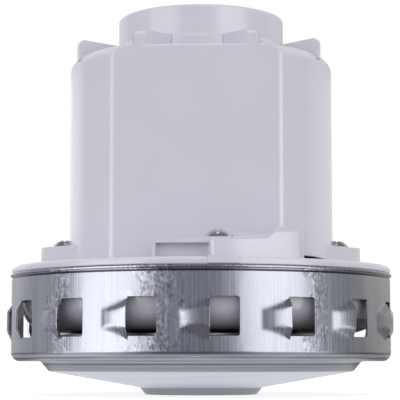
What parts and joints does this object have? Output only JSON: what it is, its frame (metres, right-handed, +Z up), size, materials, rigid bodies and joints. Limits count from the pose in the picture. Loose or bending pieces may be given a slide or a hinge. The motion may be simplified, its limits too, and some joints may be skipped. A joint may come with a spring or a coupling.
{
  "type": "vacuum motor unit",
  "caption": "Vacuum motor unit: louvred drawn steel fan case with a suction inlet, under a white moulded motor housing with screw lugs, air hoods and an open ribbed collar.",
  "frame": {"origin": "centre of the suction lip's lowest face, which is the middle of the whole object's base", "axes": "+Z up the motor shaft, away from the suction inlet; the housing's flats face -Y and +Y, and the terminals are on +Y"},
  "size_m": [0.134, 0.134, 0.1311],
  "materials": {
    "white_plastic": "satin moulded",
    "drawn_steel": "bright drawn sheet",
    "zinc_steel": "zinc plated",
    "bright_steel": "ground",
    "lamination": "stacked sheet",
    "copper": "enamelled wire or drawn bar",
    "dark_plastic": "moulded",
    "brass": "satin",
    "rubber": "matte",
    "carbon": "matte",
    "aluminium": "mill finish"
  },
  "bodies": {
    "frame": {"motor_housing": "white_plastic", "collar": "white_plastic", "flange_plate": "white_plastic", "diffuser_bowl": "white_plastic", "fan_case": "drawn_steel", "housing_screws": "zinc_steel", "stator_core": "lamination", "field_coil_front": "copper", "field_coil_rear": "copper", "stator_screws": "zinc_steel", "lower_outer_ring": "bright_steel", "bearing_retainer": "zinc_steel", "retainer_screws": "zinc_steel", "shaft_seal": "rubber", "upper_outer_ring": "bright_steel", "upper_bearing_bush": "rubber", "wave_washer": "bright_steel", "brush_holder_left": "dark_plastic", "brush_holder_right": "dark_plastic", "brush_tube_left": "brass", "brush_tube_right": "brass", "brush_cap_left": "brass", "brush_cap_right": "brass", "holder_screws": "zinc_steel", "brush_spring_left": "bright_steel", "brush_spring_right": "bright_steel", "terminal_block": "dark_plastic", "terminal_tabs": "brass"},
    "rotor": {"shaft": "bright_steel", "armature_core": "lamination", "armature_winding": "copper", "commutator_hub": "dark_plastic", "commutator_bars": "copper", "lower_inner_ring": "bright_steel", "upper_inner_ring": "bright_steel", "shaft_spacer": "bright_steel", "impeller_back": "aluminium", "impeller_shroud": "aluminium", "impeller_blades": "aluminium", "impeller_bush": "aluminium", "impeller_washers": "zinc_steel", "impeller_nut": "zinc_steel", "cooling_fan": "white_plastic", "fan_nut": "zinc_steel"},
    "lower_bearing_set": {"lower_cage": "brass", "lower_balls": "bright_steel"},
    "upper_bearing_set": {"upper_cage": "brass", "upper_balls": "bright_steel"},
    "brush_left": {"carbon_brush_left": "carbon"},
    "brush_right": {"carbon_brush_right": "carbon"}
  },
  "joints": [
    {"name": "rotor_spin", "type": "hinge", "parent": "frame", "child": "rotor", "pos_m": [0, 0, 0], "axis": [0, 0, 1], "continuous": true},
    {"name": "lower_cage_spin", "type": "hinge", "parent": "frame", "child": "lower_bearing_set", "pos_m": [0, 0, 0.028], "axis": [0, 0, 1], "continuous": true},
    {"name": "upper_cage_spin", "type": "hinge", "parent": "frame", "child": "upper_bearing_set", "pos_m": [0, 0, 0.1103], "axis": [0, 0, 1], "continuous": true},
    {"name": "brush_left_slide", "type": "slide", "parent": "frame", "child": "brush_left", "axis": [-1, 0, 0], "range_m": [0, 0.005], "stiffness_N_per_m": 150, "springref_m": -0.02, "deforming": ["brush_spring_left"]},
    {"name": "brush_right_slide", "type": "slide", "parent": "frame", "child": "brush_right", "axis": [1, 0, 0], "range_m": [0, 0.005], "stiffness_N_per_m": 150, "springref_m": -0.02, "deforming": ["brush_spring_right"]}
  ],
  "couplings": [
    {"joint": "lower_cage_spin", "follows": "rotor_spin", "ratio": 0.37},
    {"joint": "upper_cage_spin", "follows": "rotor_spin", "ratio": 0.3654}
  ]
}
